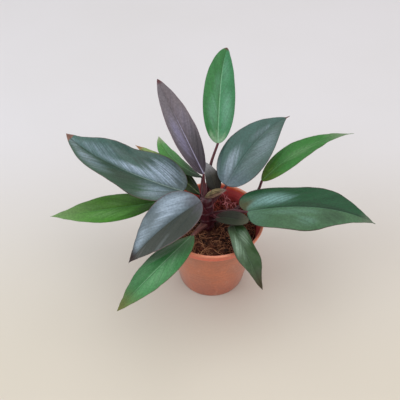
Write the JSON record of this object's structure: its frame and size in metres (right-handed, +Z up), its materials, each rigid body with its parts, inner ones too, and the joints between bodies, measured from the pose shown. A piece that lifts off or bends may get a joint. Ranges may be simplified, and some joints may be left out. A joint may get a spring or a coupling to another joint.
{
  "type": "potted black majesty philodendron",
  "caption": "Aroid house plant with long glossy lance-shaped leaves on dark red stalks, in a terracotta-coloured plastic nursery pot of coir mix.",
  "frame": {"origin": "middle of the pot's underside, on the surface it stands on", "axes": "+Z up along the pot's axis, -Y towards the front of the plant, +X to its right as seen from the front"},
  "size_m": [0.3751, 0.2837, 0.2615],
  "materials": {
    "pot": "satin",
    "soil": "matte",
    "stem": "satin",
    "petiole": "satin",
    "dry_sheath": "matte",
    "leaf_purple": "satin",
    "leaf_bright": "satin",
    "leaf_blue": "gloss",
    "leaf_dark": "gloss",
    "leaf_green": "satin",
    "leaf_lilac": "gloss",
    "leaf_olive": "satin"
  },
  "bodies": {
    "root": {"pot": "pot", "soil": "soil", "stem": "stem", "dry_sheath": "dry_sheath", "blade_young": "leaf_purple", "petiole_young": "petiole", "blade_back": "leaf_bright", "petiole_back": "petiole", "blade_back_right": "leaf_blue", "petiole_back_right": "petiole", "blade_right_high": "leaf_bright", "petiole_right_high": "petiole", "blade_right_low": "leaf_dark", "petiole_right_low": "petiole", "blade_front_small": "leaf_dark", "petiole_front_small": "petiole", "blade_front_right": "leaf_dark", "petiole_front_right": "petiole", "blade_front_left": "leaf_green", "petiole_front_left": "petiole", "blade_left_hanging": "leaf_lilac", "petiole_left_hanging": "petiole", "blade_left_low": "leaf_green", "petiole_left_low": "petiole", "blade_left_high": "leaf_blue", "petiole_left_high": "petiole", "blade_back_left_small": "leaf_bright", "petiole_back_left_small": "petiole", "blade_back_left_low": "leaf_green", "petiole_back_left_low": "petiole", "blade_bud": "leaf_olive", "petiole_bud": "petiole"}
  },
  "joints": []
}
